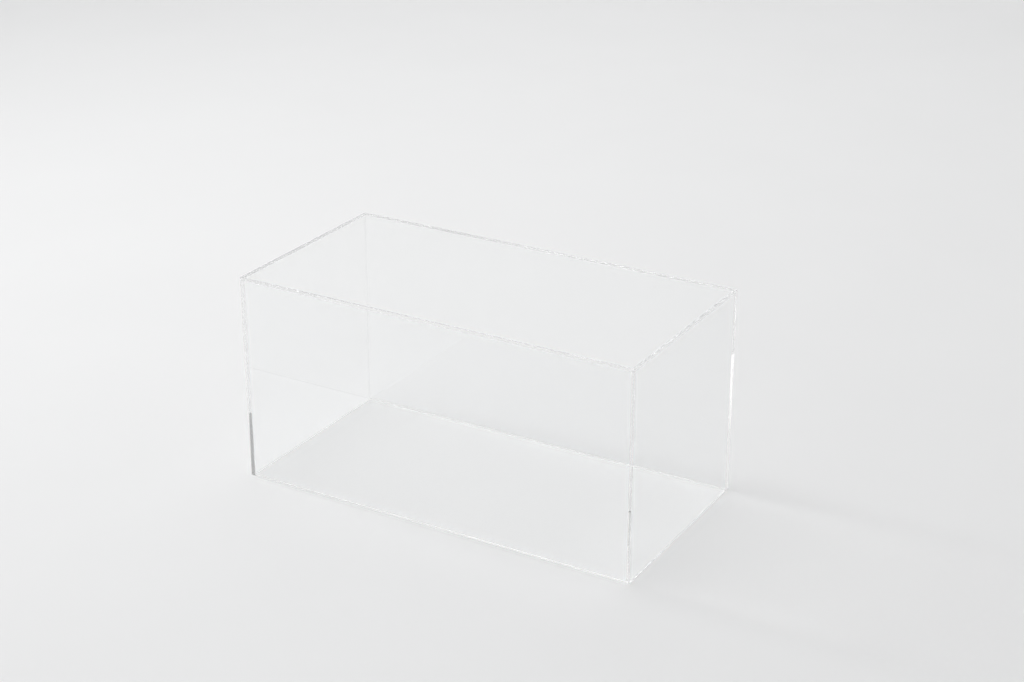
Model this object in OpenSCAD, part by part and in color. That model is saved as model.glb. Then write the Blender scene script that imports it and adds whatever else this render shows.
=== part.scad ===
// Five-sided display cover in clear acrylic sheet.
// A top sheet lies on four wall sheets and the cover is open underneath.
// The long front and back walls run the full length; the two end walls
// stand between them. Every joint is edge to face and is held by a thin
// line of cured cement, modelled as a piece of its own.
// Origin: centre of the footprint, on the plane that the walls stand on.
// +X runs along the length, +Y from front to back, +Z up. Millimetres.

/* [Outside of the cover] */
// Length over the two end walls
outer_length = 600; // [400:10:900]
// Depth over the front and back walls
outer_depth = 300; // [200:10:450]
// Height from the standing plane to the upper face
outer_height = 300; // [200:10:450]

/* [Sheet] */
// Thickness of all five sheets
sheet = 5; // [3:0.5:8]
// Width of the scraped arris along each outer edge
arris = 0.3; // [0.2:0.1:0.5]

/* [Cement] */
// Thickness of the cured cement in each joint
cement = 0.1; // [0.1:0.05:0.2]

/* [Hidden] */
// Every piece, by name

half_length = outer_length / 2;
half_depth = outer_depth / 2;
// The walls stop below the top sheet and its line of cement
wall_height = outer_height - sheet - cement;
// The end walls stand between the front and back walls, with cement at both ends
end_depth = outer_depth - 2 * sheet - 2 * cement;
// Where the end walls start, measured inwards from the outside of the long walls
end_inset = sheet + cement;
// Cutters run past the ends of the edges they trim
over = 10;
acrylic = [0.90, 0.94, 0.95, 0.35];
cured = [0.97, 0.97, 0.95, 0.6];

// A square bar turned on its edge: centred on an edge, it takes off an arris
module arris_bar(length) {
    rotate([0, 0, 45])
        cube([arris * sqrt(2), arris * sqrt(2), length + 2 * over], center = true);
}

// Trims the twelve outer edges of the whole cover from one piece
module eased() {
    difference() {
        children();
        // four upright corners
        for (sx = [-1, 1], sy = [-1, 1])
            translate([sx * half_length, sy * half_depth, outer_height / 2])
                arris_bar(outer_height);
        for (z = [0, outer_height]) {
            // edges along the length
            for (sy = [-1, 1])
                translate([0, sy * half_depth, z])
                    rotate([0, 90, 0])
                        arris_bar(outer_length);
            // edges along the depth
            for (sx = [-1, 1])
                translate([sx * half_length, 0, z])
                    rotate([90, 0, 0])
                        arris_bar(outer_depth);
        }
    }
}

// A rectangular piece placed by its lower front left corner
module slab(corner, size) {
    translate(corner)
        cube(size);
}

// Long wall; side is -1 for the front wall and 1 for the back wall
module long_wall(side) {
    eased()
        slab([-half_length, side < 0 ? -half_depth : half_depth - sheet, 0],
             [outer_length, sheet, wall_height]);
}

// End wall; side is -1 for the left wall and 1 for the right wall
module end_wall(side) {
    eased()
        slab([side < 0 ? -half_length : half_length - sheet, -half_depth + end_inset, 0],
             [sheet, end_depth, wall_height]);
}

// Cement on the top edge of a long wall
module long_top_seam(side) {
    eased()
        slab([-half_length, side < 0 ? -half_depth : half_depth - sheet, wall_height],
             [outer_length, sheet, cement]);
}

// Cement on the top edge of an end wall, between the two long lines of cement
module end_top_seam(side) {
    eased()
        slab([side < 0 ? -half_length : half_length - sheet, -half_depth + sheet, wall_height],
             [sheet, outer_depth - 2 * sheet, cement]);
}

// Cement between the end of an end wall and the face of a long wall
module corner_seam(side_x, side_y) {
    eased()
        slab([side_x < 0 ? -half_length : half_length - sheet,
              side_y < 0 ? -half_depth + sheet : half_depth - sheet - cement, 0],
             [sheet, cement, wall_height]);
}

// Top sheet, laid over the edges of all four walls
module top_panel() {
    color(acrylic)
        eased()
            slab([-half_length, -half_depth, outer_height - sheet],
                 [outer_length, outer_depth, sheet]);
}

// Walls
module front_panel() { color(acrylic) long_wall(-1); }
module back_panel() { color(acrylic) long_wall(1); }
module left_panel() { color(acrylic) end_wall(-1); }
module right_panel() { color(acrylic) end_wall(1); }

// Cured cement under the top sheet
module seam_top_front() { color(cured) long_top_seam(-1); }
module seam_top_back() { color(cured) long_top_seam(1); }
module seam_top_left() { color(cured) end_top_seam(-1); }
module seam_top_right() { color(cured) end_top_seam(1); }

// Cured cement in the upright corners
module seam_front_left() { color(cured) corner_seam(-1, -1); }
module seam_front_right() { color(cured) corner_seam(1, -1); }
module seam_back_left() { color(cured) corner_seam(-1, 1); }
module seam_back_right() { color(cured) corner_seam(1, 1); }

top_panel();
front_panel();
back_panel();
left_panel();
right_panel();
seam_top_front();
seam_top_back();
seam_top_left();
seam_top_right();
seam_front_left();
seam_front_right();
seam_back_left();
seam_back_right();
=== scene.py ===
import math

import bmesh
import bpy
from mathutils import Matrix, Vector


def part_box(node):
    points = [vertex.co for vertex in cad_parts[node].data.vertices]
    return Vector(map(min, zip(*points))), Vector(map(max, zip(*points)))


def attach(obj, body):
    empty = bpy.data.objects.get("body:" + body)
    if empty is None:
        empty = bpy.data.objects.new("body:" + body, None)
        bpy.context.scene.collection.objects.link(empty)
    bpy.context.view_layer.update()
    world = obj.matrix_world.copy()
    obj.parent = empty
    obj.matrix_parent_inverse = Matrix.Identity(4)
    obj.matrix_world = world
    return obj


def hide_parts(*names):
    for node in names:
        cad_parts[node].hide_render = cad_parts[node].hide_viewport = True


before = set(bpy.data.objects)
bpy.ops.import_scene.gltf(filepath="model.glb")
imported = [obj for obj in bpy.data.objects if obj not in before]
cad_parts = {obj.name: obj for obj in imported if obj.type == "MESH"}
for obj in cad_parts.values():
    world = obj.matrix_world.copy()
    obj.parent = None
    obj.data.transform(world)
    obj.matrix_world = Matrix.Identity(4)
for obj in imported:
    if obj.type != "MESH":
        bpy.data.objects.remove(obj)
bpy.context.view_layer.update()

scene = bpy.context.scene

# ---------------------------------------------------------------- sizes, from the CAD nodes, in metres
top_lo, top_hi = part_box("top_panel")
front_lo, front_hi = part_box("front_panel")
left_lo, left_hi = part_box("left_panel")
LENGTH = top_hi.x - top_lo.x
DEPTH = top_hi.y - top_lo.y
HEIGHT = top_hi.z
SHEET = top_hi.z - top_lo.z
HX, HY = LENGTH / 2, DEPTH / 2
WALL = front_hi.z
CEMENT = top_lo.z - WALL
ARRIS = 0.0001


# ---------------------------------------------------------------- material helpers
class Graph:
    """A material's node tree with short names for the nodes that this scene uses."""

    def __init__(self, name):
        self.mat = bpy.data.materials.new(name)
        self.mat.use_nodes = True
        self.tree = self.mat.node_tree
        self.bsdf = self.tree.nodes["Principled BSDF"]

    def node(self, kind, **values):
        n = self.tree.nodes.new(kind)
        for key, value in values.items():
            if key in n.inputs:
                n.inputs[key].default_value = value
            else:
                setattr(n, key, value)
        return n

    def link(self, a, b):
        self.tree.links.new(a, b)

    def set(self, **values):
        for key, value in values.items():
            self.bsdf.inputs[key.replace("_", " ")].default_value = value

    def coords(self, scale=(1, 1, 1)):
        geo = self.node("ShaderNodeTexCoord")
        mapping = self.node("ShaderNodeMapping")
        mapping.inputs["Scale"].default_value = scale
        self.link(geo.outputs["Object"], mapping.inputs["Vector"])
        return mapping.outputs["Vector"]

    def ramp(self, value, stops):
        r = self.node("ShaderNodeValToRGB")
        e = r.color_ramp.elements
        while len(e) < len(stops):
            e.new(0.5)
        for item, (pos, col) in zip(e, stops):
            item.position = pos
            item.color = (*col, 1) if len(col) == 3 else col
        self.link(value, r.inputs["Fac"])
        return r.outputs["Color"]


def waviness(g, scale, height, detail=2.0):
    """The faint unevenness of the sheet's surface, as a bump."""
    noise = g.node("ShaderNodeTexNoise", Scale=scale, Detail=detail, Roughness=0.45)
    g.link(g.coords(), noise.inputs["Vector"])
    bump = g.node("ShaderNodeBump", Strength=1.0, Distance=height)
    g.link(noise.outputs["Fac"], bump.inputs["Height"])
    return bump


def specks(g, base, dark, cell, size):
    """Sparse dust on a surface: the colour stays at base and drops at a few small dots."""
    vor = g.node("ShaderNodeTexVoronoi", Scale=1.0 / cell)
    vor.inputs["Randomness"].default_value = 1.0
    g.link(g.coords(), vor.inputs["Vector"])
    return g.ramp(vor.outputs["Distance"], [(0.0, dark), (size / cell, dark), (size / cell * 1.8, base), (1.0, base)])


def cast_face():
    """The sheet's own surface as it was cast: clear, glossy, very slightly uneven, with a little dust."""
    g = Graph("acrylic_cast_face")
    g.set(Transmission_Weight=1.0, IOR=1.49, Roughness=0.0)
    g.link(specks(g, (0.995, 0.998, 0.998), (0.80, 0.80, 0.80), 0.085, 0.0008), g.bsdf.inputs["Base Color"])
    g.link(waviness(g, 24.0, 6.0e-7).outputs["Normal"], g.bsdf.inputs["Normal"])
    return g.mat


def polished_edge():
    """A sawn edge after polishing: clear, with the cutter's fine marks across it."""
    g = Graph("acrylic_polished_edge")
    g.set(Transmission_Weight=1.0, IOR=1.49, Roughness=0.0)
    wave = g.node("ShaderNodeTexWave", Scale=95.0, Distortion=2.5, Detail=2.0)
    wave.wave_type = "BANDS"
    wave.bands_direction = "DIAGONAL"
    wave.inputs["Detail Scale"].default_value = 1.5
    g.link(g.coords(), wave.inputs["Vector"])
    g.link(g.ramp(wave.outputs["Fac"], [(0.0, (0.96, 0.965, 0.965)), (0.5, (0.985, 0.988, 0.988)), (1.0, (0.995, 0.996, 0.996))]),
           g.bsdf.inputs["Base Color"])
    bump = g.node("ShaderNodeBump", Strength=1.0, Distance=3.0e-7)
    g.link(wave.outputs["Fac"], bump.inputs["Height"])
    g.link(bump.outputs["Normal"], g.bsdf.inputs["Normal"])
    return g.mat


def rim_edge(name, axis, pitch, slope):
    """The lower edge of a wall, sawn and polished: clear, with shallow ripples that the cutter left every pitch along the edge."""
    g = Graph(name)
    g.set(Transmission_Weight=1.0, IOR=1.49, Roughness=0.0)
    place = g.node("ShaderNodeTexCoord")
    parts = g.node("ShaderNodeSeparateXYZ")
    g.link(place.outputs["Object"], parts.inputs["Vector"])

    def math(kind, a, b):
        n = g.node("ShaderNodeMath", operation=kind)
        for i, v in enumerate((a, b)):
            if isinstance(v, (int, float)):
                n.inputs[i].default_value = v
            else:
                g.link(v, n.inputs[i])
        return n.outputs[0]

    noise = g.node("ShaderNodeTexNoise", Scale=9.0, Detail=2.0)
    g.link(place.outputs["Object"], noise.inputs["Vector"])
    phase = math("ADD", math("MULTIPLY", parts.outputs[axis], 2 * 3.14159265 / pitch), math("MULTIPLY", noise.outputs["Fac"], 2.5))
    bump = g.node("ShaderNodeBump", Strength=1.0, Distance=slope * pitch / (2 * 3.14159265))
    g.link(math("SINE", phase, 0.0), bump.inputs["Height"])
    g.link(bump.outputs["Normal"], g.bsdf.inputs["Normal"])
    g.link(g.ramp(noise.outputs["Fac"], [(0.3, (0.95, 0.955, 0.955)), (0.7, (0.99, 0.992, 0.992))]), g.bsdf.inputs["Base Color"])
    return g.mat


def bonded_face(name, haze):
    """A face that is wetted by cement: the light goes straight on, with a trace of haze and a few pinhole bubbles."""
    g = Graph(name)
    g.set(Roughness=0.5, IOR=1.49)
    g.bsdf.inputs["Base Color"].default_value = (0.93, 0.94, 0.94, 1)
    noise = g.node("ShaderNodeTexNoise", Scale=180.0, Detail=3.0, Roughness=0.6)
    g.link(g.coords(), noise.inputs["Vector"])
    lo, hi = haze
    g.link(g.ramp(noise.outputs["Fac"], [(0.0, (lo,) * 3), (0.52, (lo,) * 3), (0.72, (hi,) * 3), (1.0, (hi,) * 3)]),
           g.bsdf.inputs["Alpha"])
    return g.mat


def cement_line():
    """The cured cement where it shows: a clear line with a slightly dull skin."""
    g = Graph("cured_cement_line")
    g.set(Transmission_Weight=1.0, IOR=1.49)
    noise = g.node("ShaderNodeTexNoise", Scale=260.0, Detail=3.0)
    g.link(g.coords(), noise.inputs["Vector"])
    g.link(g.ramp(noise.outputs["Fac"], [(0.3, (0.01,) * 3), (0.7, (0.06,) * 3)]), g.bsdf.inputs["Roughness"])
    g.link(g.ramp(noise.outputs["Fac"], [(0.3, (0.99, 0.992, 0.99)), (0.7, (0.96, 0.962, 0.96))]), g.bsdf.inputs["Base Color"])
    return g.mat


FACE, EDGE = cast_face(), polished_edge()
RIMS = {
    "front_panel": rim_edge("acrylic_rim_front", "X", 0.0090, 0.006),
    "back_panel": rim_edge("acrylic_rim_back", "X", 0.0063, 0.022),
    "left_panel": rim_edge("acrylic_rim_left", "Y", 0.0120, 0.003),
    "right_panel": rim_edge("acrylic_rim_right", "Y", 0.0140, 0.045),
}
BOND, LINE = bonded_face("acrylic_bonded_face", (0.007, 0.014)), cement_line()


# ---------------------------------------------------------------- meshes
def grid_box(xs, ys, zs):
    """The closed surface of a box, split along the given coordinates."""
    index, verts, faces = {}, [], []

    def v(x, y, z):
        key = (round(x, 7), round(y, 7), round(z, 7))
        if key not in index:
            index[key] = len(verts)
            verts.append(key)
        return index[key]

    for a, b in zip(xs, xs[1:]):
        for c, d in zip(ys, ys[1:]):
            for z, up in ((zs[0], False), (zs[-1], True)):
                q = [v(a, c, z), v(b, c, z), v(b, d, z), v(a, d, z)]
                faces.append(q if up else q[::-1])
        for c, d in zip(zs, zs[1:]):
            for y, back in ((ys[0], False), (ys[-1], True)):
                q = [v(a, y, c), v(b, y, c), v(b, y, d), v(a, y, d)]
                faces.append(q[::-1] if back else q)
    for a, b in zip(ys, ys[1:]):
        for c, d in zip(zs, zs[1:]):
            for x, right in ((xs[0], False), (xs[-1], True)):
                q = [v(x, a, c), v(x, b, c), v(x, b, d), v(x, a, d)]
                faces.append(q if right else q[::-1])
    return verts, faces


def plate(name, node, xs, ys, zs, kind, materials):
    """One piece: a closed plate whose faces get FACE, EDGE or BOND from kind(centre, normal), with its free outer arrises eased."""
    verts, faces = grid_box(xs, ys, zs)
    mesh = bpy.data.meshes.new(name)
    mesh.from_pydata(verts, [], faces)
    for m in materials:
        mesh.materials.append(m)
    bm = bmesh.new()
    bm.from_mesh(mesh)
    bm.normal_update()
    for f in bm.faces:
        f.material_index = kind(f.calc_center_median(), f.normal)
    bond = materials.index(BOND)
    ease = [e for e in bm.edges
            if len(e.link_faces) == 2
            and e.link_faces[0].normal.dot(e.link_faces[1].normal) < 0.5
            and all(f.material_index != bond for f in e.link_faces)]
    if ease:
        bmesh.ops.bevel(bm, geom=ease, offset=ARRIS, offset_type="OFFSET", segments=2, profile=0.5,
                        affect="EDGES", clamp_overlap=False, material=1)
    bm.to_mesh(mesh)
    bm.free()
    mesh.update()
    obj = bpy.data.objects.new(name, mesh)
    scene.collection.objects.link(obj)
    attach(obj, "root")
    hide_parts(node)
    return obj


ACRYLIC = [FACE, EDGE, BOND]
IN = SHEET  # width of a glued strip


def top_kind(c, n):
    if n.z < -0.5:
        inside = abs(c.x) < HX - IN and abs(c.y) < HY - IN
        return 0 if inside else 2
    return 0 if n.z > 0.5 else 1


def long_kind(c, n):
    if n.z > 0.5:
        return 2
    if abs(n.y) > 0.5:
        toward_inside = n.y * c.y < 0
        return 2 if toward_inside and abs(c.x) > HX - IN else 0
    return 3 if n.z < -0.5 else 1


def end_kind(c, n):
    if n.z > 0.5 or abs(n.y) > 0.5:
        return 2
    return 3 if n.z < -0.5 else 0


for label in ("top_panel",):
    plate("sheet_top", label, [-HX, -HX + IN, HX - IN, HX], [-HY, -HY + IN, HY - IN, HY], [HEIGHT - SHEET, HEIGHT],
          top_kind, ACRYLIC)
for label, sign in (("front_panel", -1), ("back_panel", 1)):
    ys = sorted([sign * HY, sign * (HY - SHEET)])
    plate("sheet_" + label.split("_")[0], label, [-HX, -HX + IN, HX - IN, HX], ys, [0, WALL], long_kind, ACRYLIC + [RIMS[label]])
for label, sign in (("left_panel", -1), ("right_panel", 1)):
    xs = sorted([sign * HX, sign * (HX - SHEET)])
    lo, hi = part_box(label)
    plate("sheet_" + label.split("_")[0], label, xs, [lo.y, hi.y], [0, WALL], end_kind, ACRYLIC + [RIMS[label]])

BEAD = [LINE, BOND]
for label in ("seam_top_front", "seam_top_back", "seam_top_left", "seam_top_right"):
    lo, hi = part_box(label)
    plate("cement_" + label[5:], label, [lo.x, hi.x], [lo.y, hi.y], [lo.z, hi.z],
          lambda c, n: 1 if abs(n.z) > 0.5 else 0, BEAD)
for label in ("seam_front_left", "seam_front_right", "seam_back_left", "seam_back_right"):
    lo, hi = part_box(label)
    plate("cement_" + label[5:], label, [lo.x, hi.x], [lo.y, hi.y], [lo.z, hi.z],
          lambda c, n: 1 if abs(n.y) > 0.5 or n.z > 0.5 else 0, BEAD)


# ---------------------------------------------------------------- studio: a pale floor that curves up all round
FLOOR_R, COVE_R, STUDIO_TOP = 3.3, 0.5, 1.15


def revolve(profile, steps):
    verts, faces = [(0, 0, profile[0][1])], []
    rings = []
    for r, z in profile[1:]:
        ring = []
        for i in range(steps):
            a = 2 * math.pi * i / steps
            ring.append(len(verts))
            verts.append((r * math.cos(a), r * math.sin(a), z))
        rings.append(ring)
    for i in range(steps):
        faces.append((0, rings[0][i], rings[0][(i + 1) % steps]))
    for r0, r1 in zip(rings, rings[1:]):
        for i in range(steps):
            j = (i + 1) % steps
            faces.append((r0[i], r1[i], r1[j], r0[j]))
    return verts, faces


floor_z = -0.0002
profile = [(0, floor_z), (0.8, floor_z), (1.8, floor_z), (FLOOR_R, floor_z)]
for k in range(1, 17):
    a = math.pi / 2 * k / 16
    profile.append((FLOOR_R + COVE_R * math.sin(a), floor_z + COVE_R * (1 - math.cos(a))))
profile.append((FLOOR_R + COVE_R, STUDIO_TOP))
verts, faces = revolve(profile, 160)
mesh = bpy.data.meshes.new("studio_floor")
mesh.from_pydata(verts, [], faces)
for f in mesh.polygons:
    f.use_smooth = True
floor = bpy.data.objects.new("studio_floor", mesh)
scene.collection.objects.link(floor)
g = Graph("studio_paper")
g.set(Roughness=0.85, Specular_IOR_Level=0.15)
fibre = g.node("ShaderNodeTexNoise", Scale=3.0, Detail=3.0, Roughness=0.5)
g.link(g.coords(), fibre.inputs["Vector"])
g.link(g.ramp(fibre.outputs["Fac"], [(0.3, (0.795, 0.797, 0.80)), (0.7, (0.805, 0.807, 0.81))]), g.bsdf.inputs["Base Color"])
mesh.materials.append(g.mat)

# the room over the cove: pale walls and ceiling, with a darker opening at the back right
WORLD = 1.013
world = bpy.data.worlds.new("studio_room")
scene.world = world
world.use_nodes = True
wt = world.node_tree
back = wt.nodes.get("Background") or wt.nodes.new("ShaderNodeBackground")
back.name = "Background"
spot = wt.nodes.new("ShaderNodeTexCoord")
split = wt.nodes.new("ShaderNodeSeparateXYZ")
wt.links.new(spot.outputs["Generated"], split.inputs["Vector"])


def room_math(kind, a, b=0.0):
    n = wt.nodes.new("ShaderNodeMath")
    n.operation = kind
    for i, v in enumerate((a, b)):
        if isinstance(v, (int, float)):
            n.inputs[i].default_value = v
        else:
            wt.links.new(v, n.inputs[i])
    return n.outputs[0]


def room_band(value, stops):
    n = wt.nodes.new("ShaderNodeValToRGB")
    e = n.color_ramp.elements
    while len(e) < len(stops):
        e.new(0.5)
    for item, (pos, level) in zip(e, stops):
        item.position = pos
        item.color = (level, level, level, 1)
    wt.links.new(value, n.inputs["Fac"])
    return n.outputs["Color"]


x, y, z = split.outputs["X"], split.outputs["Y"], split.outputs["Z"]
flat = room_math("SQRT", room_math("MAXIMUM", room_math("SUBTRACT", 1.0, room_math("MULTIPLY", z, z)), 0.0001))
toward = room_math("DIVIDE", room_math("MULTIPLY", room_math("ADD", x, y), 0.7071), flat)
plain = room_band(z, [(0.0, 0.78), (0.25, 0.80), (0.42, 0.86), (0.47, 0.82), (0.55, 0.80), (0.60, 0.71), (1.0, 0.70)])
opening = room_band(z, [(0.0, 0.77), (0.25, 0.77), (0.416, 0.78), (0.424, 0.12), (0.487, 0.12), (0.493, 0.80), (0.55, 0.78), (0.60, 0.70), (1.0, 0.70)])
mix = wt.nodes.new("ShaderNodeMix")
mix.data_type = "RGBA"
wt.links.new(room_band(toward, [(0.0, 0.0), (0.60, 0.0), (0.72, 1.0), (0.96, 1.0), (0.985, 0.64), (1.0, 0.64)]), mix.inputs[0])
wt.links.new(plain, mix.inputs[6])
wt.links.new(opening, mix.inputs[7])
wt.links.new(mix.outputs[2], back.inputs["Color"])
back.inputs["Strength"].default_value = WORLD

# name, place, aim, width, height, watts
LIGHTS = [
    ("softbox_key_left", (-2.2, -0.05, 2.0), (0.0, 0.0, 0.0), 0.3, 1.0, 8.9),
    ("softbox_left_back", (-1.9, 1.3, 2.45), (-0.6, 0.6, 0.0), 1.9, 1.5, 4.7),
    ("softbox_over_front", (-1.2, -1.2, 3.2), (-0.2, -0.2, 0.0), 2.2, 2.2, 17.6),
    ("softbox_over_back", (-0.8, 2.4, 3.0), (-0.8, 1.6, 0.0), 2.4, 2.4, 15.5),
    ("softbox_over_top", (-0.5, 0.3, 2.6), (-0.3, 0.2, 0.0), 1.6, 1.6, 1.5),
    ("softbox_low_front_left", (-1.37, -2.35, 1.12), (-0.3, 0.15, 0.1), 1.3, 0.24, 0.71),
]


def softbox(name, place, aim, width, height, watts):
    data = bpy.data.lights.new(name, "AREA")
    data.shape = "RECTANGLE"
    data.size, data.size_y, data.energy = width, height, watts
    obj = bpy.data.objects.new(name, data)
    scene.collection.objects.link(obj)
    obj.location = place
    obj.rotation_mode = "QUATERNION"
    obj.rotation_quaternion = (Vector(aim) - Vector(place)).to_track_quat("-Z", "Y")
    obj.visible_camera = False
    return obj


for spec in LIGHTS:
    softbox(*spec)

# ---------------------------------------------------------------- camera
camera_data = bpy.data.cameras.new("camera")
camera = bpy.data.objects.new("camera", camera_data)
scene.collection.objects.link(camera)
camera_data.sensor_width = 36.0
camera_data.lens = 1982.1 * 36.0 / 1024.0
camera_data.clip_start, camera_data.clip_end = 0.05, 50.0
yaw, pitch = math.radians(-30.365), math.radians(23.477)
ahead = Vector((math.sin(yaw) * math.cos(pitch), math.cos(yaw) * math.cos(pitch), -math.sin(pitch)))
camera.location = (1.28002, -2.11753, 1.29022)
camera.rotation_mode = "QUATERNION"
camera.rotation_quaternion = ahead.to_track_quat("-Z", "Y")
scene.camera = camera

# light is followed through many inner reflections along the sheets
c = scene.cycles
c.max_bounces = 160
c.glossy_bounces = 160
c.transmission_bounces = 160
c.transparent_max_bounces = 64
c.diffuse_bounces = 4
c.blur_glossy = 0.0
c.sample_clamp_indirect = 0.0
scene.view_settings.view_transform = "Standard"
